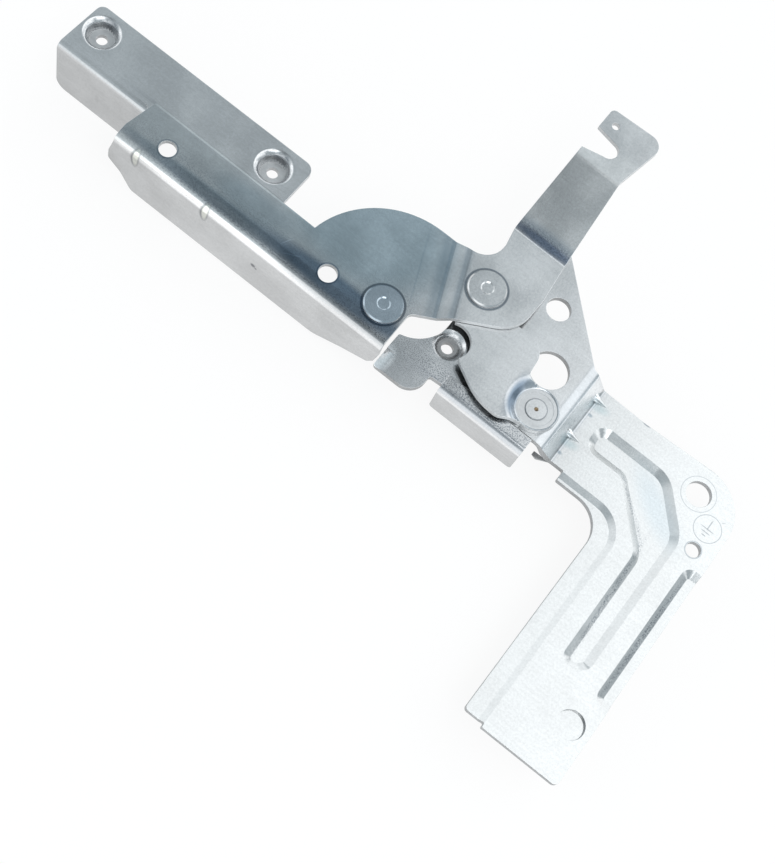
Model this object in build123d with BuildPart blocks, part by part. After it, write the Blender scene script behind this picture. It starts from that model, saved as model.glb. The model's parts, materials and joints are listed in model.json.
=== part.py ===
from build123d import *
import math
import os

# Left-hand dishwasher door hinge, shown with the door fully open.
# Frame: the pivot axis is Z and runs through the origin. Z = 0 is the front face of the base plate,
# +Z points to the side that carries the rivet heads, the door arm runs to -X and the foot to +X.
# All sizes are in millimetres.

os.makedirs("parts", exist_ok=True)

# Sheet thicknesses and the play between the layers that turn on each other
base_sheet = 2.5
door_sheet = 2.0
play = 0.2

# Levels of the layers that are stacked on the pivot, from the base plate to the front
rail_back = play
rail_front = rail_back + door_sheet
dome_front = rail_front + door_sheet
link_back = rail_front + play
link_front = link_back + door_sheet
disc_back = link_front + play
disc_front = disc_back + door_sheet

# Rivets
pivot_r = 5.0
running_gap = 0.05
head_r = 7.4
head_height = 1.2
head_dimple_r = 2.6
head_dimple_depth = 0.3
head_edge = 0.5
tail_r = 7.0
tail_height = 1.4
arm_rivet_xy = (-25.0, -29.3)
arm_rivet_r = 4.0
link_rivet_xy = (40.7, -23.4)
link_rivet_r = 4.2
link_tail_r = 6.0
link_punch_r = 0.8
link_coin_r = 6.5
link_coin_depth = 0.25

# Base plate: lobe, web, flange and the step down to the foot
lobe_left = -14.5
lobe_right = 3.9
lobe_bottom = -48.0
lobe_facet_x = -10.5
lobe_facet_y = -39.5
lobe_facet_drop = 1.9
web_corner = (48.5, 4.9)
flange_left = 9.0
flange_right = 46.2
flange_face = -40.0
flange_depth = 16.0
flange_start = -33.0
flange_corner_r = 1.5
base_bend_r = 4.0
bend_dip = 0.9
pivot_boss_r = 10.0
joggle_start = 50.0
joggle_end = 56.1
soft_fold_r = 5.5
tight_fold_r = 1.0
gusset_ys = (-0.3, -18.3)
gusset_high = (54.0, -7.3)
gusset_low = (60.5, -8.2)
gusset_high_r = 2.0
gusset_low_r = 0.2

# Base plate: holes and the screw dish of the lobe
tub_hole_xy = (35.8, -6.8)
tub_hole_r = 7.5
latch_hole_xy = (24.5, 15.4)
latch_hole_r = 4.75
lobe_screw_xy = (2.0, -23.7)
lobe_seat_rim_r = 7.6
lobe_seat = [(3.7, 2.8), (4.9, 1.0), (6.2, 0)]
screw_hole_r = 2.35

# Base plate: foot
foot_front = -8.0
foot_back = foot_front - base_sheet
foot_right = 124.0
foot_bottom = -124.8
foot_inner = 84.0
border_x = 92.2
border_y = -31.6
border_drop = 1.5
rib_depth = 2.0
rib_flank = 3.0
fix_hole_xy = (105.9, -5.0)
fix_hole_r = 5.0
foot_screw_xy = (115.8, -24.1)
foot_screw_r = 2.9
locator_xy = (116.0, -104.6)
locator_r = 5.3
locator_height = 1.3

# Pivot link plate
dish_flat_r = 8.0
dish_rim_r = 11.0
dish_fold_r = 4.5
link_end_r = 8.6
link_pivot_end_r = 8.8
lobe_clearance_r = 7.1

# Door arm
arm_top_left = (-135.7, -21.1)
arm_left = -138.0
arm_face = -42.5
arm_flat_end = -35.5
arm_bend_r = 4.0
arm_end = -15.6
dome_left = -62.3
dome_top = 9.1
dome_r = 36.3
joggle_angle = 22.5
joggle_dome_s = -14.8
joggle_disc_s = -9.6
lever_start = 25.0
crease_low = 27.3
crease_high = 61.3
lever_knee = (30.3, 8.4)
lever_knee_r = 18.0
hook_front = 18.6
slot_xy = (2.2, 71.3)
slot_r = 3.9
hook_hole_xy = (-1.3, 81.4)
hook_hole_r = 1.5
arm_holes = [(-120.6, -33.3, 3.3), (-47.3, -33.0, 3.6)]

# Door rail
rail_left = -178.2
rail_shoulder = -76.8
rail_top = -1.9
rail_face = -26.5
rail_bend_r = 3.0
rail_wall_bottom = -25.0
rail_wall_end = -137.0
rail_low_edge = -35.5
rail_corner_r = 4.5
rail_eye_r = 9.0
rail_seats = [(-169.4, -11.6), (-88.5, -11.6)]
rail_seat_rim_r = 8.4
rail_seat = [(4.6, 4.6), (5.8, 1.2), (7.2, 0)]
rail_screw_r = 2.2
rail_clearance_r = 4.7

# A pressed wall is moved out by this share of the sheet on its back
seat_wall_shift = 0.5

# Length that reaches past the whole hinge, for slabs and trimming tools
reach = 300.0
centred_top = (Align.CENTER, Align.CENTER, Align.MAX)


def save(part, name):
    """Names a finished piece and writes it."""
    part.label = name
    export_step(part, f"parts/{name}.step")


def fold_shift(sheet, drop, run):
    """How far a fold line on the back of a sheet lies from the same fold on its front."""
    return sheet * math.tan(math.atan2(drop, run) / 2)


def outline(points, radii, plane=Plane.XY):
    """Closed outline with one corner radius for each point."""
    with BuildSketch(plane) as shape:
        with BuildLine():
            FilletPolyline(*points, radius=radii, close=True)
        make_face()
    return shape.sketch


def flange_section(start, face, front, sheet, bend_r, bottom, x, dip=0.0):
    """Section of a sheet that dips gently to -Y from start and is bent back into a wall at face."""
    points = [
        (start, front), (face, front - dip), (face, bottom),
        (face + sheet, bottom), (face + sheet, front - dip - sheet), (start, front - sheet),
    ]
    return outline(points, [0, bend_r, 0, 0, bend_r - sheet, 0], Plane.YZ.offset(x))


def pressed_seat(front, sheet, hole_r, rim_r, profile):
    """Ring of sheet that is pressed down round a screw hole, along radii and depths from the hole out."""
    floor = front - profile[0][1]
    points = [(hole_r, floor)]
    points += [(r, front - depth) for r, depth in profile]
    points += [(rim_r, front), (rim_r, front - sheet)]
    points += [(r + seat_wall_shift * sheet, front - depth - sheet) for r, depth in reversed(profile)]
    points += [(hole_r, floor - sheet)]
    with BuildPart() as seat:
        with BuildSketch(Plane.XZ):
            with BuildLine():
                Polyline(*points, close=True)
            make_face()
        revolve(axis=Axis.Z)
    return seat.part


def press_seats(places, seat, rim_r):
    """Puts a pressed seat at each place of the sheet that is being built."""
    with Locations(*places):
        Cylinder(rim_r, reach, mode=Mode.SUBTRACT)
    for place in places:
        add(seat.moved(Location((*place, 0))))


# Base plate outline, anticlockwise from the lower left corner of the lobe
base_points = [
    (lobe_left, lobe_bottom), (lobe_right, lobe_bottom), (lobe_right, -38.0), (flange_left, -37.6),
    (flange_left, flange_start), (51.5, -32.8), (56.0, -31.1), (61.9, -31.1), (61.9, -34.9),
    (foot_inner, -34.9), (foot_inner, -122.9), (border_x, -122.9), (border_x, foot_bottom),
    (foot_right, foot_bottom), (foot_right - 0.4, 6.9), (75.1, 4.4), web_corner, (12.0, 40.2),
    (-3.6, 28.5), (-2.4, -28.5), (-14.3, -32.4),
]
base_radii = [
    1.5, 7.0, 1.0, 0, 0, 2.0, 2.0, 0.6, 0.6, 12.0, 1.5, 0.6, 0.6, 2.0,
    18.0, 20.0, 1.0, 6.0, 8.0, 14.8, 0.8,
]

# Long rib of the foot, the rib that is open to its right edge, and the lowered border
long_rib = outline(
    [
        (62.2, -6.3), (93.8, -6.3), (110.5, -24.3), (110.5, -84.3), (107.2, -88.2), (99.8, -88.2),
        (99.5, -39.6), (79.6, -18.8), (62.2, -18.8),
    ],
    [5.5, 12.0, 12.0, 3.4, 3.4, 4.0, 7.0, 4.0, 5.5],
)
edge_rib = outline([(117.3, -30.3), (140, -30.3), (140, -92.6), (117.3, -92.6)], [4.0, 0, 0, 4.0])
border = outline(
    [(50, border_y), (border_x, border_y), (border_x, -140), (70, -140), (70, -50), (50, -50)],
    [0, 13.0, 0, 0, 0, 0],
)
pressings = [(long_rib, rib_depth), (edge_rib, rib_depth), (border, border_drop)]
flank_taper = math.degrees(math.atan2(rib_flank, rib_depth))
flank_shift = fold_shift(base_sheet, rib_depth, rib_flank)
step_shift = fold_shift(base_sheet, -foot_front, joggle_end - joggle_start)

with BuildPart() as stop_flange:
    extrude(
        flange_section(
            flange_start, flange_face, 0, base_sheet, base_bend_r, -flange_depth, flange_left, bend_dip,
        ),
        amount=flange_right - flange_left,
    )
    fillet(stop_flange.edges().filter_by(Axis.Y).group_by(Axis.Z)[0], radius=flange_corner_r)

lobe_cup = pressed_seat(0, base_sheet, screw_hole_r, lobe_seat_rim_r, lobe_seat)

with BuildPart() as base_plate:
    # The sheet steps down from the bearing area to the foot
    extrude(
        outline(
            [
                (-reach, 0), (joggle_start, 0), (joggle_end, foot_front), (reach, foot_front),
                (reach, foot_back), (joggle_end - step_shift, foot_back),
                (joggle_start - step_shift, -base_sheet), (-reach, -base_sheet),
            ],
            [
                0, soft_fold_r, tight_fold_r, 0,
                0, tight_fold_r + base_sheet, soft_fold_r - base_sheet, 0,
            ],
            Plane.XZ,
        ),
        amount=reach,
        both=True,
    )
    press_seats([lobe_screw_xy], lobe_cup, lobe_seat_rim_r)

    # Each pressing is sunk on the front and stands out on the back
    for shape, depth in pressings:
        with BuildSketch(Plane.XY.offset(foot_back)) as raised:
            add(shape)
            offset(amount=flank_shift, kind=Kind.INTERSECTION)
        extrude(amount=-depth, taper=flank_taper)
        extrude(shape.moved(Location((0, 0, foot_front))), amount=-depth, taper=flank_taper, mode=Mode.SUBTRACT)

    with BuildSketch(Plane.XY.offset(-reach)):
        add(outline(base_points, base_radii))
        Circle(pivot_boss_r)
    extrude(amount=2 * reach, mode=Mode.INTERSECT)
    add(stop_flange.part)

    # The lower left edge of the lobe is pressed down into a facet
    facet_reach = 2 * lobe_facet_x
    extrude(
        outline(
            [(lobe_facet_x, 0), (facet_reach, lobe_facet_drop), (facet_reach, -2 * lobe_facet_drop)],
            [0, 0, 0],
            Plane.XZ.offset(-lobe_facet_y),
        ),
        amount=lobe_facet_y - 2 * lobe_bottom,
        mode=Mode.SUBTRACT,
    )

    # Gussets pressed across the inner corner of the step
    gusset_run = gusset_low[0] - gusset_high[0]
    gusset_drop = gusset_high[1] - gusset_low[1]
    for y in gusset_ys:
        with Locations(((gusset_high[0] + gusset_low[0]) / 2, y, (gusset_high[1] + gusset_low[1]) / 2)):
            Cone(
                gusset_high_r, gusset_low_r, math.hypot(gusset_run, gusset_drop),
                rotation=(0, 90 + math.degrees(math.atan2(gusset_drop, gusset_run)), 0),
            )

    # Locating boss, half sheared through the sheet
    with Locations((*locator_xy, foot_back)):
        Cylinder(locator_r - 0.1, locator_height, align=centred_top)
    with Locations((*locator_xy, foot_front)):
        Cylinder(locator_r, locator_height, align=centred_top, mode=Mode.SUBTRACT)

    with BuildSketch(Plane.XY.offset(-reach)):
        Circle(pivot_r)
        with Locations(link_rivet_xy):
            Circle(link_rivet_r)
        with Locations(tub_hole_xy):
            Circle(tub_hole_r)
        with Locations(latch_hole_xy):
            Circle(latch_hole_r)
        with Locations(fix_hole_xy):
            Circle(fix_hole_r)
        with Locations(foot_screw_xy):
            Circle(foot_screw_r)
    extrude(amount=2 * reach, mode=Mode.SUBTRACT)

save(base_plate.part, "base_plate")


# Pivot link plate: it bears on the front of the stack and is dished down to the base at its rivet
dish_back = fold_shift(door_sheet, link_back, dish_rim_r - dish_flat_r)
with BuildPart() as dished_sheet:
    with BuildSketch(Plane.XZ):
        with BuildLine():
            FilletPolyline(
                (0, 0), (dish_flat_r + dish_back, 0), (dish_rim_r + dish_back, link_back), (reach, link_back),
                (reach, link_front), (dish_rim_r, link_front), (dish_flat_r, door_sheet), (0, door_sheet),
                radius=[0, 0, dish_fold_r - door_sheet, 0, 0, dish_fold_r, tight_fold_r, 0],
                close=True,
            )
        make_face()
    revolve(axis=Axis.Z)

with BuildPart() as pivot_link:
    with BuildSketch():
        add(
            outline(
                [
                    (-7.4, -4.0), (-0.4, -18.5), (9.2, -28.9), (21.5, -35.7), (31.0, -36.3), (37.0, -32.7),
                    (46.5, -29.6), (45.0, -16.4), (39.5, -15.3), (31.2, -16.5), (29.8, -3.0), (12.0, -2.6),
                    (4.0, 6.0),
                ],
                [0, 0, 1.5, 25.0, 6.0, 3.0, 0, 0, 0, 2.5, 7.5, 3.0, 0],
            )
        )
        Circle(link_pivot_end_r)
        with Locations(link_rivet_xy):
            Circle(link_end_r)
        with Locations(lobe_screw_xy):
            Circle(lobe_clearance_r, mode=Mode.SUBTRACT)
    extrude(amount=link_front + 1)
    add(dished_sheet.part.moved(Location((*link_rivet_xy, 0))), mode=Mode.INTERSECT)
    with Locations((*link_rivet_xy, door_sheet)):
        Cylinder(link_coin_r, link_coin_depth, align=centred_top, mode=Mode.SUBTRACT)
    with BuildSketch(Plane.XY):
        Circle(pivot_r)
        with Locations(link_rivet_xy):
            Circle(link_rivet_r)
    extrude(amount=link_front, mode=Mode.SUBTRACT)

save(pivot_link.part, "pivot_link")


# Door arm: channel with its wall, dome, a step up to the pivot disc, and the lever with its hook
joggle_run = joggle_disc_s - joggle_dome_s
joggle_shift = fold_shift(door_sheet, disc_front - dome_front, joggle_run)
across_joggle = Vector(1, 0, 0).rotate(Axis.Z, joggle_angle)
joggle_plane = Plane(origin=(0, 0, 0), x_dir=across_joggle, z_dir=across_joggle.cross(Vector(0, 0, 1)))
lever_shift = fold_shift(door_sheet, hook_front - disc_front, crease_high - crease_low)
hook_back = hook_front - door_sheet

with BuildPart() as arm_wall:
    extrude(
        flange_section(arm_flat_end, arm_face, dome_front, door_sheet, arm_bend_r, -reach, arm_end, bend_dip),
        amount=-reach,
    )
    extrude(
        outline(
            [
                (arm_end, 10), (arm_left, 10), (arm_left, 0.2), (-139.8, -7.5), (-139.8, -13.0),
                (-133.8, -17.0), (-128.5, -24.2), (-42.0, -24.2), (-29.2, -18.2), (-18.5, -14.0),
                (-16.3, -10.4), (arm_end, -6.0),
            ],
            [0, 0, 2.0, 2.0, 2.0, 6.0, 3.0, 10.0, 6.0, 2.0, 2.0, 2.0],
            Plane.XZ,
        ),
        amount=reach,
        both=True,
        mode=Mode.INTERSECT,
    )

with BuildPart() as door_arm:
    extrude(
        outline(
            [
                (-reach, rail_front), (joggle_dome_s + joggle_shift, rail_front),
                (joggle_disc_s + joggle_shift, disc_back), (reach, disc_back), (reach, disc_front),
                (joggle_disc_s, disc_front), (joggle_dome_s, dome_front), (-reach, dome_front),
            ],
            [0, tight_fold_r + door_sheet, soft_fold_r - door_sheet, 0, 0, soft_fold_r, tight_fold_r, 0],
            joggle_plane,
        ),
        amount=reach,
        both=True,
    )
    with BuildSketch():
        with Locations((0, lever_start)):
            Rectangle(reach, reach, align=(Align.CENTER, Align.MAX))
    extrude(amount=disc_front, mode=Mode.INTERSECT)

    # The lever rises from the disc to the hook, steeply at its foot
    extrude(
        outline(
            [
                (lever_start - 2, disc_back), (crease_low + lever_shift, disc_back),
                (lever_knee[0] + lever_shift, lever_knee[1] - door_sheet),
                (crease_high + lever_shift, hook_back), (reach, hook_back), (reach, hook_front),
                (crease_high, hook_front), lever_knee, (crease_low, disc_front), (lever_start - 2, disc_front),
            ],
            [0, tight_fold_r, lever_knee_r, tight_fold_r, 0, 0, soft_fold_r, lever_knee_r, 0, 0],
            Plane.YZ.offset(-lever_start),
        ),
        amount=2 * lever_start,
    )
    with BuildSketch():
        add(
            outline(
                [(arm_left, arm_flat_end), arm_top_left, (-40, -22.1), (-40, arm_flat_end)],
                [0, 2.0, 0, 0],
            )
        )
        add(
            outline(
                [
                    (dome_left, arm_flat_end), (dome_left, dome_top), (-5.1, dome_top), (-5.1, 19.5),
                    (-6.7, 27.5), (-6.2, 60.0), (-6.3, 87.1), (17.8, 88.3), (13.5, 62.5), (16.4, 28.0),
                    (18.4, 11.5), (18.4, -5.3), (arm_end, -25.6), (arm_end, arm_flat_end),
                ],
                [0, dome_r, 8.8, 4.0, 8.0, 0, 2.0, 5.0, 12.0, 8.0, 20.0, 14.0, 3.0, 0],
            )
        )
        with Locations(slot_xy):
            Circle(slot_r, mode=Mode.SUBTRACT)
        add(
            outline([(2.2, 67.4), (2.2, 75.2), (-9, 77.4), (-9, 64.6)], [0, 0, 0, 0]),
            mode=Mode.SUBTRACT,
        )
        with Locations(hook_hole_xy):
            Circle(hook_hole_r, mode=Mode.SUBTRACT)
        Circle(pivot_r + running_gap, mode=Mode.SUBTRACT)
        with Locations(arm_rivet_xy):
            Circle(arm_rivet_r, mode=Mode.SUBTRACT)
    extrude(amount=hook_front, mode=Mode.INTERSECT)
    add(arm_wall.part)
    for x, y, radius in arm_holes:
        with Locations((x, y)):
            Cylinder(radius, hook_front, mode=Mode.SUBTRACT)

save(door_arm.part, "door_arm")


# Door rail: screwed to the door, with a tongue that runs under the dome to the pivot
with BuildPart() as rail_wall:
    extrude(
        flange_section(
            rail_face + rail_bend_r, rail_face, rail_front, door_sheet, rail_bend_r, rail_wall_bottom, rail_left,
        ),
        amount=rail_wall_end - rail_left,
    )
    fillet(rail_wall.edges().filter_by(Axis.Y).group_by(Axis.Z)[0], radius=rail_corner_r)

rail_cup = pressed_seat(rail_front, door_sheet, rail_screw_r, rail_seat_rim_r, rail_seat)

with BuildPart() as door_rail:
    with BuildSketch(Plane.XY.offset(rail_back)):
        add(
            outline(
                [
                    (rail_left, rail_face + rail_bend_r), (rail_left + 0.7, rail_top - 0.2),
                    (rail_shoulder, rail_top + 0.2), (rail_shoulder, -24.5), (-52.0, -24.5), (-34.0, -13.0),
                    (-7.0, 5.6), (6.2, -6.5), (-4.5, -15.2), (-17.4, -23.5), (-17.6, rail_low_edge),
                    (rail_wall_end, rail_low_edge), (rail_wall_end, rail_face + rail_bend_r),
                ],
                [0, 3.0, 4.0, 4.0, 6.0, 8.0, 0, 0, 0, 2.0, 6.0, 3.0, 2.0],
            )
        )
        Circle(rail_eye_r)
        Circle(pivot_r + running_gap, mode=Mode.SUBTRACT)
        with Locations(arm_rivet_xy):
            Circle(arm_rivet_r, mode=Mode.SUBTRACT)
        for x, y, radius in arm_holes:
            with Locations((x, y)):
                Circle(rail_clearance_r, mode=Mode.SUBTRACT)
    extrude(amount=door_sheet)
    add(rail_wall.part)
    press_seats(rail_seats, rail_cup, rail_seat_rim_r)

save(door_rail.part, "door_rail")


def rivet(section, centre):
    """Turns a rivet from its half section, written as radius and height."""
    with BuildPart() as turned:
        with BuildSketch(Plane.XZ):
            with BuildLine():
                Polyline(*section, close=True)
            make_face()
        revolve(axis=Axis.Z)
    return turned.part.moved(Location((*centre, 0)))


def dimpled_head(seat):
    """Section of a riveted head from its seat to the dimple in its top."""
    top = seat + head_height
    dimple_floor = top - head_dimple_depth
    return [
        (head_r, seat), (head_r, top - head_edge), (head_r - head_edge, top),
        (head_dimple_r, top), (head_dimple_r - head_edge, dimple_floor), (0, dimple_floor),
    ]


def tail(radius):
    """Section of a riveted tail under the base plate."""
    end = -base_sheet - tail_height
    return [
        (0, end), (radius - head_edge, end), (radius, end + head_edge), (radius, -base_sheet),
    ]


# Rivets
head_seat = disc_front + running_gap
pivot_rivet = rivet(
    tail(tail_r) + [(pivot_r, -base_sheet), (pivot_r, head_seat)] + dimpled_head(head_seat),
    (0, 0),
)
save(pivot_rivet, "pivot_rivet")

arm_rivet = rivet(
    [(0, rail_back), (arm_rivet_r, rail_back), (arm_rivet_r, dome_front)] + dimpled_head(dome_front),
    arm_rivet_xy,
)
save(arm_rivet, "arm_rivet")

link_rivet = rivet(
    tail(link_tail_r) + [
        (link_rivet_r, -base_sheet), (link_rivet_r, door_sheet),
        (link_punch_r, door_sheet), (0, door_sheet - link_punch_r),
    ],
    link_rivet_xy,
)
save(link_rivet, "link_rivet")
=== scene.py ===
import json
import math
import bmesh
import bpy
from mathutils import Matrix, Vector


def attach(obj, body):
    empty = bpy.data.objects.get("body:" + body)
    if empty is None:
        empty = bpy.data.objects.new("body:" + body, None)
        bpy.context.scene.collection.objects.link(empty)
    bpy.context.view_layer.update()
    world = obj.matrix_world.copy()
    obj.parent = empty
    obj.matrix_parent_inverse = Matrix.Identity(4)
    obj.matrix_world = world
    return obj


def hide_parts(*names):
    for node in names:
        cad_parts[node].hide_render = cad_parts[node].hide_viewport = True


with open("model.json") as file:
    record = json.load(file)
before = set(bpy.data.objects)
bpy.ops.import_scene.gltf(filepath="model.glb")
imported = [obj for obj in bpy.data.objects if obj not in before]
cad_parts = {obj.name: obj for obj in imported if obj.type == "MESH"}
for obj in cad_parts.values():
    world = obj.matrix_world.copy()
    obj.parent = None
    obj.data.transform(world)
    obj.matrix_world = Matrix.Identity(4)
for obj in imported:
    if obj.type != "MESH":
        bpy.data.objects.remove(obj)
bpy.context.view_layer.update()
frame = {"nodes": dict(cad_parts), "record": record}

MM = 0.001

# Camera: where it stands, which way it faces and its lens
CAMERA_PLACE = Vector((0.0426, -0.2868, 0.5260))
CAMERA_RIGHT = Vector((0.7834, 0.5908, 0.1930))
CAMERA_UP = Vector((-0.6180, 0.7077, 0.3424))
CAMERA_BACK = Vector((0.0657, -0.3876, 0.9195))
LENS_MM = 68.41

# Studio
FLOOR_Z = -0.0275
FLOOR_SIZE = 12.0
FLOOR_GLOW = 0.88
# The floor that the metal sees grows brighter from the first of these places to the second, in metres:
# left and right along X, front and back along Y
FLOOR_LEFT = (-0.16, -0.09)
FLOOR_RIGHT = (0.08, 0.05)
FLOOR_FRONT = (-0.056, -0.080)
FLOOR_BACK = (0.10, 0.16)


def node(tree, kind, links=None, values=None, **settings):
    """Adds a shader node, sets its properties and plain inputs, and joins the inputs in links."""
    made = tree.nodes.new(kind)
    for name, value in settings.items():
        setattr(made, name, value)
    for key, value in (values or {}).items():
        made.inputs[key].default_value = value
    for key, source in (links or {}).items():
        tree.links.new(source, made.inputs[key])
    return made


def new_material(name):
    """An empty node material with its output node."""
    material = bpy.data.materials.new(name)
    material.use_nodes = True
    material.node_tree.nodes.clear()
    output = node(material.node_tree, "ShaderNodeOutputMaterial")
    return material, material.node_tree, output


# Camera
camera_data = bpy.data.cameras.new("camera")
camera_data.sensor_width = 36.0
camera_data.lens = LENS_MM
camera_data.clip_start = 0.01
camera_data.clip_end = 50.0
camera = bpy.data.objects.new("camera", camera_data)
bpy.context.scene.collection.objects.link(camera)
turn = Matrix((CAMERA_RIGHT, CAMERA_UP, CAMERA_BACK)).transposed()
camera.matrix_world = Matrix.Translation(CAMERA_PLACE) @ turn.to_4x4()
bpy.context.scene.camera = camera


def math_node(tree, operation, *given):
    """Joins values, each a number or a socket, and gives the result's socket."""
    made = node(tree, "ShaderNodeMath", operation=operation)
    for slot, value in enumerate(given):
        if isinstance(value, (int, float)):
            made.inputs[slot].default_value = value
        else:
            tree.links.new(value, made.inputs[slot])
    return made.outputs[0]


def ramp(tree, value, low, high, to_low=0.0, to_high=1.0):
    """Soft step from one level to another between two values."""
    return node(
        tree, "ShaderNodeMapRange", {"Value": value},
        {"From Min": low, "From Max": high, "To Min": to_low, "To Max": to_high},
        interpolation_type="SMOOTHSTEP",
    ).outputs["Result"]


def mark_mask(tree, place, shape, centre, half, turn, soft):
    """One inside a mark given in millimetres and degrees, fading to nought over its soft rim.
    A round mark is an ellipsoid, a bar is a box, and a ring has half = (radius, half width, half height)."""
    ring = shape == "ring"
    size = (1, 1, half[2]) if ring else half
    moved = node(
        tree, "ShaderNodeMapping", {"Vector": place},
        {
            "Location": [v * MM for v in centre], "Rotation": (0, 0, math.radians(turn)),
            "Scale": [v * MM for v in size],
        },
        vector_type="TEXTURE",
    ).outputs[0]
    if shape == "round":
        far = node(tree, "ShaderNodeVectorMath", {0: moved}, operation="LENGTH").outputs["Value"]
        return ramp(tree, far, 1 + soft, 1 - soft)
    spread = node(tree, "ShaderNodeVectorMath", {0: moved}, operation="ABSOLUTE").outputs[0]
    parts = node(tree, "ShaderNodeSeparateXYZ", {0: spread}).outputs
    if ring:
        flat = node(tree, "ShaderNodeCombineXYZ", {0: parts["X"], 1: parts["Y"]}).outputs[0]
        far = node(tree, "ShaderNodeVectorMath", {0: flat}, operation="LENGTH").outputs["Value"]
        off_line = math_node(tree, "DIVIDE", math_node(tree, "SUBTRACT", far, half[0]), half[1])
        far = math_node(tree, "ABSOLUTE", off_line)
    else:
        far = math_node(tree, "MAXIMUM", parts["X"], parts["Y"])
    return ramp(tree, math_node(tree, "MAXIMUM", far, parts["Z"]), 1 + soft, 1 - soft)


def multiplied(tree, colour, shade, share):
    """Multiplies a colour's socket by a shade, by the share given as a number or a socket."""
    mix = node(
        tree, "ShaderNodeMix", {6: colour}, {7: (*shade, 1)}, data_type="RGBA", blend_type="MULTIPLY"
    )
    if isinstance(share, float):
        mix.inputs[0].default_value = share
    else:
        tree.links.new(share, mix.inputs[0])
    return mix.outputs[2]


def noise(tree, place, scale, detail, roughness):
    """Fine pattern from nought to one, with its scale in cells per metre."""
    return node(
        tree, "ShaderNodeTexNoise", {"Vector": place},
        {"Scale": scale, "Detail": detail, "Roughness": roughness},
    ).outputs["Fac"]


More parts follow.
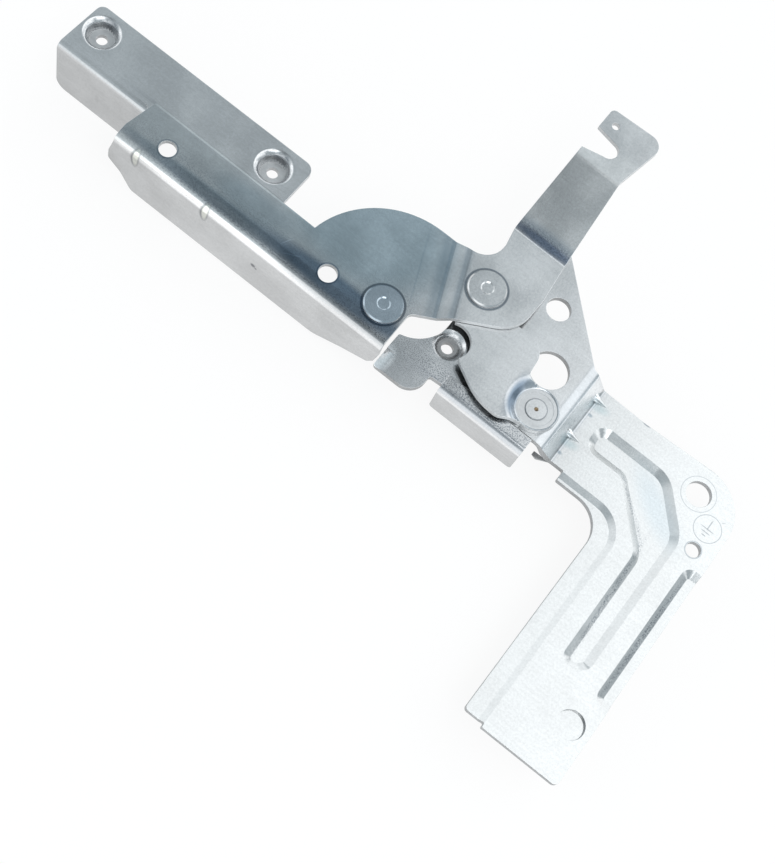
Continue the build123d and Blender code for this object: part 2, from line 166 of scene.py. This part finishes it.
# Painted shade and painted highlights per piece, drawn into the plating's colour where light and shade fall,
# with the earth sign and a few small spots: shape, centre, half sizes, turn, softness, tint
PAINTED_SHADE_NAVY = (0.36, 0.45, 0.55)
PAINTED_LIGHT_AND_SIGNS = {
    "door_arm": [
        # Painted shade over the dome and along both sides of the joggle, with a painted shade line at its
        # crease
        ("round", (-46, -6, 4), (31, 27, 8), 0, 0.35, (0.66, 0.78, 0.84)),
        ("bar", (-15.6, -6.4, 4), (2.2, 24, 3), 22.4, 0.9, (0.66, 0.72, 0.76)),
        ("bar", (-14.3, -5.9, 4), (0.7, 24, 3), 22.4, 0.8, (0.74, 0.80, 0.84)),
        ("bar", (-8.8, -3.6, 6.6), (1.3, 20, 3), 22.4, 0.9, (0.74, 0.79, 0.83)),
        ("bar", (-24.0, -8.2, 4.2), (0.3, 13, 2), 22.4, 0.8, (0.88, 0.91, 0.93)),
        # Painted shadow rings round the heads of the arm rivet and the pivot rivet
        ("ring", (-25, -29.3, 4.2), (8.0, 0.45, 1.5), 0, 0.6, (0.30, 0.34, 0.38)),
        ("ring", (0, 0, 6.6), (8.0, 0.45, 1.5), 0, 0.6, (0.34, 0.38, 0.42)),
        # Painted shade along the arm's bend and its lower side
        ("round", (-40, -35.5, 4), (34, 4.5, 3), 0, 0.4, PAINTED_SHADE_NAVY),
        ("round", (-96, -37.5, 4), (42, 2.6, 3), 0, 0.5, (0.62, 0.70, 0.76)),
        ("round", (-84, -30, 4), (16, 6, 3), 0, 0.5, (0.78, 0.84, 0.88)),
        # Painted highlight on the disc's rolled lower edge, with painted shade below it
        ("bar", (5, 27.2, 6.6), (15, 0.30, 1.5), 0, 0.4, (1.60, 1.56, 1.52)),
        ("round", (6, 28.9, 7.7), (16, 1.6, 3), 0, 0.6, (0.36, 0.42, 0.52)),
        ("round", (6, 30.8, 8.4), (16, 2.6, 3), 0, 0.8, (0.70, 0.76, 0.82)),
        # Thin painted shade rings on the arm's face
        ("ring", (-120.6, -33.3, 4.2), (3.7, 0.25, 1.0), 0, 0.6, (0.62, 0.66, 0.70)),
        ("ring", (-47.3, -33.0, 4.2), (4.0, 0.25, 1.0), 0, 0.6, (0.55, 0.60, 0.65)),
        # Two small marks on the wall, each a painted shade rim round a painted highlight
        ("round", (-128.0, -42.2, 0.0), (1.8, 3, 5.0), 0, 0.3, (0.42, 0.44, 0.45)),
        ("round", (-127.8, -42.2, 0.0), (1.15, 3, 4.1), 0, 0.3, (2.70, 2.60, 2.35)),
        ("round", (-96.0, -42.2, 0.0), (1.8, 3, 5.0), 0, 0.3, (0.42, 0.44, 0.45)),
        ("round", (-95.8, -42.2, 0.0), (1.15, 3, 4.1), 0, 0.3, (2.70, 2.60, 2.35)),
        # Two small dark spots low on the wall, and a small brown spot on the face
        ("round", (-72.0, -42.2, -9.5), (1.0, 2, 1.0), 0, 0.4, (0.35, 0.36, 0.38)),
        ("round", (-70.6, -42.2, -10.4), (0.5, 2, 0.5), 0, 0.4, (0.40, 0.41, 0.43)),
        ("round", (-83.2, -20.8, 4.2), (0.7, 0.4, 1), 30, 0.4, (0.50, 0.36, 0.24)),
        # Painted highlight along the wall's fold, and painted shade along its right part
        ("bar", (-100, -40.9, 3.0), (40, 1.6, 1.8), 0, 0.4, (1.48, 1.46, 1.44)),
        ("bar", (-35, -41.4, 3.2), (28, 0.9, 1.0), 0, 0.4, (0.80, 0.80, 0.80)),
        # Painted light brightening the lever
        ("bar", (6, 52, 14), (18, 21, 9), 0, 0.1, (1.10, 1.10, 1.09)),
        # Painted shade over the arm's face on the rail, a painted highlight along its upper edge and two
        # short painted highlight lines
        ("bar", (-104, -29.5, 4.2), (42, 7.5, 1.5), 0, 0.25, (0.87, 0.91, 0.92)),
        ("bar", (-105.5, -22.0, 4.2), (31, 0.35, 1.0), 0, 0.5, (1.40, 1.40, 1.38)),
        ("bar", (-61.3, -36.0, 4.2), (3.2, 0.12, 1), 28, 0.5, (1.45, 1.45, 1.45)),
        ("bar", (-66.0, -33.0, 4.2), (2.2, 0.10, 1), 65, 0.5, (1.40, 1.40, 1.40)),
    ],
    "base_plate": [
        # The whole foot a touch brighter
        ("bar", (96, -60, -9), (38, 76, 3), 0, 0.05, (1.03, 1.03, 1.02)),
        # Painted shade at the step's upper fold and lower crease, with a painted highlight on its slope
        ("bar", (49.2, -12, -0.5), (2.2, 22, 1.6), 0, 0.5, (0.84, 0.86, 0.88)),
        ("bar", (53.4, -14, -4.2), (2.8, 22, 2.9), 0, 0.25, (1.50, 1.52, 1.53)),
        ("bar", (56.4, -14, -8), (0.4, 22, 0.8), 0, 0.5, (0.80, 0.82, 0.84)),
        # Painted shade beside the two gussets
        ("round", (58.6, -2.4, -6.2), (3.8, 1.9, 3.2), 10, 0.6, (0.78, 0.87, 0.89)),
        ("round", (57.4, -21.3, -6.2), (3.8, 1.9, 3.2), 10, 0.6, (0.78, 0.87, 0.89)),
        # Painted shadow under the link plate's lower edge
        ("bar", (26.0, -38.4, -1.2), (24, 1.4, 1.4), 0, 0.5, (0.82, 0.83, 0.85)),
        # A soft darker patch on the foot
        ("round", (96.5, -19, -9), (16, 5.0, 3), -35, 0.6, (0.88, 0.93, 0.96)),
        # Painted highlight on the stop pad
        ("round", (-13, -44, -1), (3.5, 6, 3), 0, 0.3, (1.65, 1.65, 1.65)),
        # Thin dark lines of the earth sign and of the rings near it
        ("ring", (105.9, -5.0, -8), (6.9, 0.16, 1.0), 0, 0.6, (0.72, 0.74, 0.76)),
        ("ring", (115.7, -14.0, -8), (5.4, 0.18, 1.0), 0, 0.6, (0.66, 0.68, 0.70)),
        ("bar", (115.7, -12.2, -8), (0.22, 1.9, 1.0), 0, 0.4, (0.60, 0.62, 0.64)),
        ("bar", (115.7, -14.1, -8), (2.6, 0.22, 1.0), 0, 0.4, (0.60, 0.62, 0.64)),
        ("bar", (115.7, -15.5, -8), (1.7, 0.22, 1.0), 0, 0.4, (0.60, 0.62, 0.64)),
        ("bar", (115.7, -16.9, -8), (0.8, 0.22, 1.0), 0, 0.4, (0.60, 0.62, 0.64)),
        ("ring", (115.8, -24.1, -8), (3.2, 0.25, 1.0), 0, 0.6, (0.66, 0.69, 0.72)),
        ("bar", (119.3, -8.1, -8), (0.6, 0.14, 1.0), 40, 0.4, (0.70, 0.72, 0.74)),
        # A small dark spot, and painted shade at the foot of the two gussets
        ("round", (75.8, 4.4, -8), (1.6, 0.5, 1.0), 0, 0.5, (0.45, 0.48, 0.52)),
        ("round", (57.4, -6.9, -7.4), (1.0, 0.7, 1.5), 0, 0.5, (0.60, 0.66, 0.70)),
        ("round", (56.8, -26.4, -7.4), (1.0, 0.7, 1.5), 0, 0.5, (0.60, 0.66, 0.70)),
    ],
    "pivot_link": [
        # Painted shade on the dish slope round the link rivet and on the slope left of it, with painted shade
        # lines at the dish's ring edges and in the groove round the rivet head
        ("ring", (40.7, -23.4, 3.2), (9.6, 1.5, 1.6), 0, 0.5, (0.74, 0.80, 0.86)),
        ("round", (31.6, -25.0, 3.4), (2.6, 8.5, 2.2), 8, 0.6, (0.42, 0.48, 0.55)),
        ("ring", (40.7, -23.4, 2.0), (6.5, 0.20, 0.9), 0, 0.6, (0.62, 0.66, 0.70)),
        ("ring", (40.7, -23.4, 2.0), (7.6, 0.16, 0.9), 0, 0.6, (0.70, 0.74, 0.78)),
        ("ring", (40.7, -23.4, 2.0), (4.35, 0.25, 1.2), 0, 0.6, (0.36, 0.38, 0.40)),
        ("ring", (40.7, -23.4, 2.0), (5.4, 0.14, 0.9), 0, 0.6, (0.78, 0.82, 0.86)),
    ],
    "door_rail": [
        # Painted shadow under the arm's upper edge
        ("bar", (-105.5, -21.0, 2.2), (31, 0.6, 1.0), 0, 0.6, (0.74, 0.76, 0.78)),
        # Painted shade at the top and painted highlight at the bottom of the two screw seats
        ("round", (-169.4, -5.2, -0.8), (5.5, 2.4, 2.6), 0, 0.5, (0.42, 0.44, 0.46)),
        ("round", (-88.5, -5.2, -0.8), (5.5, 2.4, 2.6), 0, 0.5, (0.50, 0.52, 0.54)),
        ("round", (-169.4, -8.6, -3.2), (4.5, 1.6, 2.2), 0, 0.5, (1.45, 1.45, 1.45)),
        ("round", (-88.5, -8.6, -3.2), (4.5, 1.6, 2.2), 0, 0.5, (1.45, 1.45, 1.45)),
        # A small dark bar low on the rail
        ("bar", (-158.6, -29.0, -13.5), (0.5, 2, 1.8), 0, 0.4, (0.35, 0.36, 0.38)),
    ],
    "arm_rivet": [
        # Painted shade darkening the whole head
        ("round", (-25, -29.3, 6), (8.5, 8.5, 6), 0, 0.1, (0.66, 0.76, 0.84)),
    ],
    "link_rivet": [
        # A brown centre, and a painted shadow ring in the groove round the head
        ("round", (40.7, -23.4, 2.3), (0.8, 0.8, 2), 0, 0.3, (0.42, 0.30, 0.18)),
        ("ring", (40.7, -23.4, 2.3), (4.05, 0.22, 2), 0, 0.5, (0.50, 0.52, 0.54)),
    ],
}

# Places with fine dark specks in the plating: shape, centre, half sizes, turn, softness, depth
SPECKS = {
    "door_arm": [
        ("round", (6, 29.6, 8.0), (16, 2.6, 3), 0, 0.7, 0.75),
        ("bar", (-50, -39.6, 4.0), (60, 0.9, 1.2), 0, 0.7, 0.55),
        ("round", (-24, -30, 4.2), (11, 10, 2), 0, 0.6, 0.40),
        ("round", (-60, -35.5, 4.2), (52, 5.0, 2), 0, 0.6, 0.35),
        ("round", (-118, -35, 4.2), (24, 6, 2), 0, 0.8, 0.30),
    ],
    "base_plate": [
        ("bar", (26, -35.4, 0), (24, 2.4, 1.2), 0, 0.7, 0.80),
        ("round", (-4, -30, -0.5), (15, 15, 3), 0, 0.5, 0.42),
        ("round", (87.1, -23.3, -9.0), (0.9, 12.1, 2.0), 51, 0.5, 0.75),
        ("round", (97.9, -32.6, -9.0), (0.9, 6.1, 2.0), 39, 0.5, 0.60),
        ("round", (101.4, -57.7, -9.4), (1.0, 24.7, 2.0), 3, 0.5, 0.85),
        ("round", (119.1, -63.7, -9.4), (1.0, 26.9, 2.0), -1, 0.5, 0.85),
        ("bar", (92, 6.6, -8), (32, 1.0, 2), 0, 0.6, 0.60),
    ],
    "door_rail": [
        ("round", (-169.4, -11.6, 0), (7.6, 7.6, 5), 0, 0.2, 0.45),
        ("round", (-88.5, -11.6, 0), (7.6, 7.6, 5), 0, 0.2, 0.45),
    ],
}


ZINC_TINT = (0.985, 1.0, 1.01)
SPECK_SHADE = (0.30, 0.33, 0.38)
GRAIN_DEPTH = 0.00008
GRAIN_STRENGTH = 0.14


def zinc_and_painted_light(name, painted_light_and_signs, specks, level, rough, metal=1.0):
    """Bright zinc plating on pressed steel: clouds, fine speckle, faint streaks, and the piece's painted
    shade and painted highlights, its earth sign and small spots.
    Level and rough are the brightness and the roughness at both ends of the clouds."""
    material, tree, output = new_material(name)
    place = node(tree, "ShaderNodeTexCoord").outputs["Object"]
    cloud = noise(tree, place, 55.0, 3.0, 0.55)
    speckle = noise(tree, place, 1100.0, 2.0, 0.7)
    fine = noise(tree, place, 2400.0, 1.0, 0.5)
    stretched = node(
        tree, "ShaderNodeVectorMath", {0: place}, {1: (60.0, 900.0, 900.0)}, operation="MULTIPLY",
    ).outputs[0]
    streak = noise(tree, stretched, 1.0, 2.0, 0.6)
    grain = math_node(
        tree, "ADD", ramp(tree, speckle, 0.25, 0.75, -0.03, 0.03), ramp(tree, streak, 0.3, 0.7, -0.012, 0.012)
    )
    grey = math_node(tree, "ADD", ramp(tree, cloud, 0.3, 0.7, *level), grain)
    tint = node(tree, "ShaderNodeCombineColor", {0: grey, 1: grey, 2: grey}).outputs[0]
    tint = multiplied(tree, tint, ZINC_TINT, 1.0)
    for *form, depth in specks:
        mask = math_node(tree, "MULTIPLY", mark_mask(tree, place, *form), depth)
        mask = math_node(tree, "MULTIPLY", mask, ramp(tree, fine, 0.50, 0.60))
        tint = multiplied(tree, tint, SPECK_SHADE, mask)
    # Painted shade and painted highlights, with the earth sign and small spots, multiplied into the colour
    for *form, shade in painted_light_and_signs:
        tint = multiplied(tree, tint, shade, mark_mask(tree, place, *form))
    height = math_node(tree, "ADD", speckle, math_node(tree, "MULTIPLY", streak, 0.3))
    bump = node(
        tree, "ShaderNodeBump", {"Height": height}, {"Strength": GRAIN_STRENGTH, "Distance": GRAIN_DEPTH}
    )
    shader = node(
        tree, "ShaderNodeBsdfPrincipled",
        {
            "Base Color": tint, "Roughness": ramp(tree, cloud, 0.3, 0.7, *rough),
            "Normal": bump.outputs["Normal"],
        },
        {"Metallic": metal},
    )
    tree.links.new(shader.outputs["BSDF"], output.inputs["Surface"])
    return material


# Edges, by the angle between their faces: a cut edge, the steps within a fold, and those round a pressed end
CUT_EDGE_ANGLE = math.radians(50)
FOLD_STEP_ANGLE = math.radians(20)
ROUND_END_ANGLE = math.radians(48)
FLAT_ANGLE = math.radians(0.5)
WELD_GAP = 0.002 * MM
# Neighbouring faces whose normals rise about as much as each other belong to a round end
LIKE_SLOPE = 0.12
ROUND_END_SLOPES = (0.3, 0.97)
CUT_FACE_WIDTH = 3.2 * MM
CUT_EDGE_WIDTH = 0.12 * MM
# The rail's two screw seats have soft shoulders, and they lie behind the line where its fold begins
SEAT_SHOULDER_WIDTH = 0.5 * MM
RAIL_FOLD_Y = -22 * MM


def folded_steps(work):
    """Marks the edges that stay crisp, so that folds and round ends shade smoothly."""
    for face in work.faces:
        face.smooth = True
    for edge in work.edges:
        angle = edge.calc_face_angle(0.0)
        slopes = [abs(face.normal.z) for face in edge.link_faces]
        low, high = min(slopes), max(slopes)
        round_end = high - low < LIKE_SLOPE and ROUND_END_SLOPES[0] < low < ROUND_END_SLOPES[1]
        edge.smooth = angle < (ROUND_END_ANGLE if round_end else FOLD_STEP_ANGLE)


def broken_edges(work, edges, width, segments):
    """Rounds edges by a small width."""
    bmesh.ops.bevel(
        work, geom=edges, offset=width, offset_type="OFFSET", segments=segments, profile=0.5,
        affect="EDGES", clamp_overlap=False, material=-1,
    )
    work.normal_update()


def finished_sheet(name, body, finishes):
    """Replaces a CAD piece by a copy with its flats joined and its cut edges broken.
    The cut faces have the second finish."""
    work = bmesh.new()
    work.from_mesh(frame["nodes"][name].data)
    bmesh.ops.remove_doubles(work, verts=work.verts, dist=WELD_GAP)
    bmesh.ops.dissolve_limit(work, angle_limit=FLAT_ANGLE, verts=work.verts, edges=work.edges)
    work.normal_update()
    if name == "door_rail":
        shoulders = [
            edge for edge in work.edges
            if FOLD_STEP_ANGLE < edge.calc_face_angle(0.0) < CUT_EDGE_ANGLE
            and min(vert.co.y for vert in edge.verts) > RAIL_FOLD_Y
        ]
        broken_edges(work, shoulders, SEAT_SHOULDER_WIDTH, 3)
    cut_edges = [edge for edge in work.edges if edge.calc_face_angle(0.0) > CUT_EDGE_ANGLE]
    known = set(cut_edges)
    for face in work.faces:
        cut = sum(edge.calc_length() for edge in face.edges if edge in known)
        face.material_index = 1 if cut > 0 and 2 * face.calc_area() / cut < CUT_FACE_WIDTH else 0
    broken_edges(work, cut_edges, CUT_EDGE_WIDTH, 2)
    folded_steps(work)
    mesh = bpy.data.meshes.new(name + "_finished")
    work.to_mesh(mesh)
    work.free()
    for finish in finishes:
        mesh.materials.append(finish)
    piece = bpy.data.objects.new(name + "_finished", mesh)
    bpy.context.scene.collection.objects.link(piece)
    shading = piece.modifiers.new("even_shading", "WEIGHTED_NORMAL")
    shading.keep_sharp = True
    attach(piece, body)
    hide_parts(name)


# Brightness of the plating and of the cut edges, where a piece differs from the rest
PLATE_LEVELS = {"door_rail": (0.58, 0.66)}
CUT_LEVELS = {"base_plate": (0.28, 0.44)}
for body, names in frame["record"]["behaviour"]["bodies"].items():
    for name in names:
        rivet = name.endswith("rivet")
        plate = zinc_and_painted_light(
            "zinc_" + name, PAINTED_LIGHT_AND_SIGNS.get(name, []), SPECKS.get(name, []), PLATE_LEVELS.get(name, (0.55, 0.63)),
            (0.15, 0.22) if rivet else (0.17, 0.25),
        )
        cut_edge = zinc_and_painted_light(
            "cut_edge_" + name, [], [], CUT_LEVELS.get(name, (0.50, 0.62)), (0.32, 0.42), metal=0.55
        )
        cad_mesh = frame["nodes"][name].data
        cad_mesh.materials.clear()
        cad_mesh.materials.append(plate)
        finished_sheet(name, body, (plate, cut_edge))


# The studio as the metal sees it, by the direction that a reflection points to.
# A card covers a range of X, of Y and of Z on the unit sphere of directions and has soft sides.
# Each card: ranges of X, Y and Z, half width of its soft sides, brightness. A range to 2 has no side there.
WHITE_CARDS = [
    ((0.00, 2.0), (0.02, 0.85), (0.35, 2.0), 0.08, 1.10),
    ((-2.0, -0.60), (-0.40, 0.60), (0.05, 0.56), 0.08, 0.85),
    ((-2.0, -0.50), (-0.60, -0.05), (0.30, 0.78), 0.10, 0.45),
    ((-2.0, 2.0), (-2.0, -0.78), (-0.5, 0.60), 0.06, 0.45),
    ((-0.30, 2.0), (-2.0, -0.72), (-0.5, 0.60), 0.04, 0.50),
    ((-0.60, 0.85), (0.70, 2.0), (-0.5, 0.30), 0.10, 1.10),
]
DARK_CARDS = [
    ((-0.29, -0.06), (-0.38, 0.42), (0.70, 2.0), 0.08, 0.34),
    ((-0.18, 0.00), (-0.62, -0.30), (0.70, 2.0), 0.06, 0.34),
]
OPEN_SIDE = 2.0
ROOM_LEVEL = 0.62
ROOM_COLOUR = (0.89, 1.00, 1.06, 1)
CARD_COLOUR = (1.02, 1.00, 0.99, 1)


def total_of_cards(tree, parts, cards):
    """Sums the cards' brightness for the direction whose X, Y and Z are given."""
    total = 0.0
    for *ranges, soft, strength in cards:
        share = strength
        for axis, span in zip("XYZ", ranges):
            for edge, side in zip(span, (1, -1)):
                if abs(edge) < OPEN_SIDE:
                    slope = ramp(tree, parts.outputs[axis], edge - side * soft, edge + side * soft)
                    share = math_node(tree, "MULTIPLY", slope, share)
        total = math_node(tree, "ADD", share, total)
    return total


def studio_world():
    """Makes the world that lights the object and shows in its reflections."""
    world = bpy.data.worlds.new("studio")
    world.use_nodes = True
    tree = world.node_tree
    tree.nodes.clear()
    output = node(tree, "ShaderNodeOutputWorld")
    way = node(tree, "ShaderNodeTexCoord").outputs["Generated"]
    unit = node(tree, "ShaderNodeVectorMath", {0: way}, operation="NORMALIZE").outputs[0]
    parts = node(tree, "ShaderNodeSeparateXYZ", {0: unit})
    dark = total_of_cards(tree, parts, DARK_CARDS)
    room = math_node(tree, "SUBTRACT", ROOM_LEVEL, dark)
    room_light = node(tree, "ShaderNodeBackground", {"Strength": room}, {"Color": ROOM_COLOUR})
    white = total_of_cards(tree, parts, WHITE_CARDS)
    card_light = node(tree, "ShaderNodeBackground", {"Strength": white}, {"Color": CARD_COLOUR})
    both = node(tree, "ShaderNodeAddShader", {0: room_light.outputs[0], 1: card_light.outputs[0]})
    white_back = node(tree, "ShaderNodeBackground", values={"Color": (1, 1, 1, 1), "Strength": 1.0})
    camera_ray = node(tree, "ShaderNodeLightPath").outputs["Is Camera Ray"]
    seen = node(tree, "ShaderNodeMixShader", {0: camera_ray, 1: both.outputs[0], 2: white_back.outputs[0]})
    tree.links.new(seen.outputs[0], output.inputs["Surface"])
    bpy.context.scene.world = world


studio_world()


def pale_floor():
    """A floor that looks white to the camera and in the metal, and still takes a faint shadow."""
    mesh = bpy.data.meshes.new("floor")
    work = bmesh.new()
    bmesh.ops.create_grid(work, x_segments=1, y_segments=1, size=FLOOR_SIZE / 2)
    bmesh.ops.translate(work, verts=work.verts, vec=(0, 0, FLOOR_Z))
    work.to_mesh(mesh)
    work.free()
    floor = bpy.data.objects.new("floor", mesh)
    bpy.context.scene.collection.objects.link(floor)
    material, tree, output = new_material("pale_floor")
    path = node(tree, "ShaderNodeLightPath").outputs
    glossy_ray = path["Is Glossy Ray"]
    seen = math_node(tree, "MAXIMUM", glossy_ray, path["Is Transmission Ray"])
    seen = math_node(tree, "MAXIMUM", path["Is Camera Ray"], seen)
    matt = node(tree, "ShaderNodeBsdfDiffuse", values={"Color": (0.9, 0.9, 0.9, 1)})
    place = node(tree, "ShaderNodeTexCoord").outputs["Object"]
    parts = node(tree, "ShaderNodeSeparateXYZ", {0: place}).outputs
    across, along = parts["X"], parts["Y"]
    near = ramp(tree, across, *FLOOR_LEFT, 0.78, 0.95)
    front = math_node(tree, "MULTIPLY", ramp(tree, along, *FLOOR_FRONT), ramp(tree, across, *FLOOR_RIGHT))
    front = math_node(tree, "MULTIPLY", front, ramp(tree, across, -0.16, -0.12, 0.3, 1.0))
    back = ramp(tree, along, *FLOOR_BACK, 0.0, 0.45)
    level = math_node(tree, "ADD", near, math_node(tree, "MULTIPLY_ADD", front, 0.65, back))
    level = math_node(tree, "MULTIPLY_ADD", glossy_ray, math_node(tree, "SUBTRACT", level, 1.0), 1.0)
    glow = node(tree, "ShaderNodeEmission", {"Strength": level}, {"Color": (1, 1, 1, 1)})
    share = math_node(tree, "MULTIPLY", seen, FLOOR_GLOW)
    mix = node(tree, "ShaderNodeMixShader", {0: share, 1: matt.outputs[0], 2: glow.outputs[0]})
    tree.links.new(mix.outputs[0], output.inputs["Surface"])
    mesh.materials.append(material)


pale_floor()


def area_lamp(name, place, target, size, power):
    """A square soft lamp that faces a target."""
    data = bpy.data.lights.new(name, "AREA")
    data.size = size
    data.energy = power
    lamp = bpy.data.objects.new(name, data)
    bpy.context.scene.collection.objects.link(lamp)
    lamp.location = place
    lamp.rotation_mode = "QUATERNION"
    lamp.rotation_quaternion = (Vector(place) - Vector(target)).to_track_quat("Z", "Y")


area_lamp("key_lamp", (0.5, -0.5, 1.2), (0, 0, 0), 0.8, 4.5)

bpy.context.scene.view_settings.view_transform = "Standard"

bpy.context.view_layer.update()
